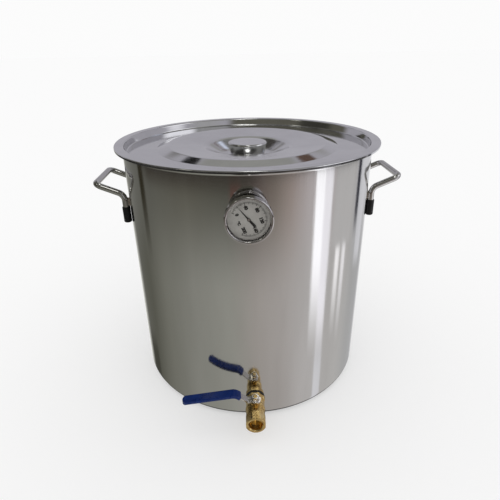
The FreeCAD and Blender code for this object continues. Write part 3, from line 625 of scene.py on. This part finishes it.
# What shiny faces see of the room, in degrees: azimuth from the front, + to the right, elevation,
# radius where it is full and where it ends, colour
ROOM_BASE = (0.46, 0.45, 0.49)
ROOM_PATCHES = [(-52, 20, 60, 72, (0.13, 0.125, 0.10)),
                (0, 90, 43, 50, (0.30, 0.295, 0.28)),
                (0, 90, 17, 25, (0.05, 0.048, 0.042)),
                (-78, 13, 10, 24, (0.05, 0.048, 0.04)),
                (-90, 66, 16, 26, (0.035, 0.034, 0.03)),
                (180, 60, 22, 26, (0.36, 0.36, 0.34)),
                (180, 74, 6, 10, (0.52, 0.52, 0.52)),
                (-164, 24, 0.5, 6.0, (0.20, 0.195, 0.185)),
                (164, 24, 0.5, 6.0, (0.34, 0.335, 0.325)),
                (-161, 35, 2.6, 3.6, (0.004, 0.004, 0.003)),
                (-150, 49, 9, 13, (0.045, 0.04, 0.035)),
                (161, 34, 2.6, 3.6, (0.12, 0.075, 0.055)),
                (150, 49, 9, 13, (0.22, 0.215, 0.21)),
                (153, 43, 2.0, 5.0, (1.0, 1.08, 1.3)),
                (48, 32, 10, 26, (0.42, 0.42, 0.42)),
                (84, 30, 11, 22, (1.40, 1.40, 1.46)),
                (62, 4, 6, 9, (1.7, 1.7, 1.76)),
                (-64, 45, 4, 6, (2.6, 2.6, 2.3)),
                (12, 50, 4, 7, (3.5, 3.5, 3.4)),
                (0, 86, 3, 6, (6.0, 6.0, 5.7))]


def stage_mesh(name, corners, faces, material):
    mesh = bpy.data.meshes.new(name)
    mesh.from_pydata(corners, [], faces)
    mesh.materials.append(material)
    piece = bpy.data.objects.new(name, mesh)
    bpy.context.scene.collection.objects.link(piece)
    return piece


def stage_square(name, half, height, material):
    corners = [(-half, -half, height), (half, -half, height), (half, half, height), (-half, half, height)]
    return stage_mesh(name, corners, [(0, 1, 2, 3)], material)


def only_mirrored(piece):
    """Seen in shiny surfaces alone, as a card beside the camera would be."""
    piece.visible_camera = False
    piece.visible_diffuse = False
    piece.visible_shadow = False
    piece.visible_transmission = False
    piece.visible_volume_scatter = False


def glow(name):
    """Material that only shines; returns the material, its tree and the emission node."""
    material = bpy.data.materials.new(name)
    material.use_nodes = True
    tree = material.node_tree
    tree.nodes.clear()
    shine = node(tree, "ShaderNodeEmission")
    node(tree, "ShaderNodeOutputMaterial", {"Surface": shine.outputs[0]})
    return material, tree, shine


def grey_table():
    """Grey, with painted shade: darker close to the kettle, as a shadow the kettle would cast."""
    material, tree, shine = glow("grey_table")
    near = rise(tree, ring_distance(tree), GREY_FROM, DARK_TO)
    link(tree, over(tree, TABLE_GREY, TABLE_PAINTED_SHADE, near), shine, "Color")
    return material


def fan_share(angle):
    """Place across the fan, 0 at its left edge and 1 at its right, of an angle round the wall."""
    return (angle + FAN_EDGE) / (2 * FAN_EDGE)


def table_tones():
    """Painted reflections for the wall: dim green-grey on the left, warmer and lighter to the right, darker
    far away in front.
    """
    material, tree, shine = glow("table_tones")
    parts = node(tree, "ShaderNodeSeparateXYZ", {0: node(tree, "ShaderNodeUVMap").outputs[0]})
    across, height = parts.outputs["X"], parts.outputs["Y"]
    near_tone = tint(tree, across, [(fan_share(angle), colour) for angle, colour in PAINTED_REFLECTION_NEAR])
    far_tone = tint(tree, across, [(fan_share(angle), colour) for angle, colour in PAINTED_REFLECTION_FAR])
    tone = over(tree, near_tone, far_tone, rise(tree, height, FAR_START * MM, FAR_FULL * MM))
    for low, high, soft, starts, full, colour in PAINTED_REFLECTION_BANDS:
        from_left = rise(tree, across, fan_share(low - soft), fan_share(low + soft))
        from_right = rise(tree, across, fan_share(high + soft), fan_share(high - soft))
        from_start = rise(tree, height, starts * MM, full * MM)
        tone = over(tree, tone, colour, times(tree, times(tree, from_left, from_right), from_start))
    link(tree, tone, shine, "Color")
    return material


def mirrored_table():
    """Table top painted with reflections for the wall, laid out as the wall mirrors it towards the camera,
    in a fan round the kettle.
    """
    columns = range(-FAN_EDGE, FAN_EDGE + 1, FAN_STEP)
    points, layout = [], []
    for across in columns:
        a = math.radians(across)
        normal = Vector((math.sin(a), -math.cos(a), 0))
        for row in range(ROWS):
            height = row * ROW_STEP * MM
            wall = normal * WALL_R * MM + Vector((0, 0, height + FIRST_ROW * MM))
            bounced = (wall - EYE).reflect(normal)
            points.append(wall - bounced * (wall.z / bounced.z))
            layout.append((fan_share(across), height))
    faces = []
    for i in range(len(columns) - 1):
        for j in range(ROWS - 1):
            first = i * ROWS + j
            faces.append((first, first + 1, first + ROWS + 1, first + ROWS))
    piece = stage_mesh("mirrored_table", points, faces, table_tones())
    layer = piece.data.uv_layers.new(name="UVMap")
    for loop in piece.data.loops:
        layer.data[loop.index].uv = layout[loop.vertex_index]
    return piece


def room_light():
    """Even white light; shiny faces see the painted room instead."""
    world = bpy.data.worlds.new("studio")
    bpy.context.scene.world = world
    world.use_nodes = True
    tree = world.node_tree
    tree.nodes.clear()
    toward = node(tree, "ShaderNodeTexCoord").outputs["Generated"]
    tone = ROOM_BASE
    for azimuth, elevation, inner, outer, colour in ROOM_PATCHES:
        a = math.radians(azimuth)
        e = math.radians(elevation)
        centre = (math.sin(a) * math.cos(e), -math.cos(a) * math.cos(e), math.sin(e))
        near = node(tree, "ShaderNodeVectorMath", {0: toward, 1: centre}, operation="DOT_PRODUCT")
        edge = math.cos(math.radians(outer))
        core = math.cos(math.radians(inner))
        tone = over(tree, tone, colour, rise(tree, near.outputs["Value"], edge, core))
    plain = node(tree, "ShaderNodeBackground", {"Color": WHITE, "Strength": 1.0})
    room = node(tree, "ShaderNodeBackground", {"Color": tone, "Strength": 1.0})
    glossy = node(tree, "ShaderNodeLightPath").outputs["Is Glossy Ray"]
    mixed = node(tree, "ShaderNodeMixShader", {0: glossy, 1: plain.outputs[0], 2: room.outputs[0]})
    node(tree, "ShaderNodeOutputWorld", {"Surface": mixed.outputs[0]})


def make_stage():
    pale = new_material("pale_floor", **{"Roughness": 1.0, "Specular IOR Level": 0.0,
                                         "Base Color": (0.55, 0.55, 0.55, 1),
                                         "Emission Color": (1, 1, 1, 1), "Emission Strength": 0.43})[0]
    floor = stage_square("floor", FLOOR_HALF, 0, pale)
    floor.visible_glossy = False
    only_mirrored(stage_square("grey_table", TABLE_HALF, TABLE_Z, grey_table()))
    only_mirrored(mirrored_table())
    room_light()


def make_camera():
    """In front of the kettle and above it, looking 26 degrees down."""
    data = bpy.data.cameras.new("camera")
    data.lens = LENS
    data.sensor_width = SENSOR
    data.clip_start = 0.01
    camera = bpy.data.objects.new("camera", data)
    bpy.context.scene.collection.objects.link(camera)
    turn = (Matrix.Rotation(YAW, 4, "Z") @ Matrix.Rotation(math.pi / 2 - PITCH, 4, "X")
            @ Matrix.Rotation(ROLL, 4, "Z"))
    camera.matrix_world = Matrix.Translation(EYE) @ turn
    bpy.context.scene.camera = camera


def main():
    pieces = [kettle_wall(), lid_sheet(), lid_knob(), dial_print()]
    dress(pieces, make_materials())
    make_stage()
    make_camera()
    bpy.context.scene.view_settings.view_transform = "Standard"


main()
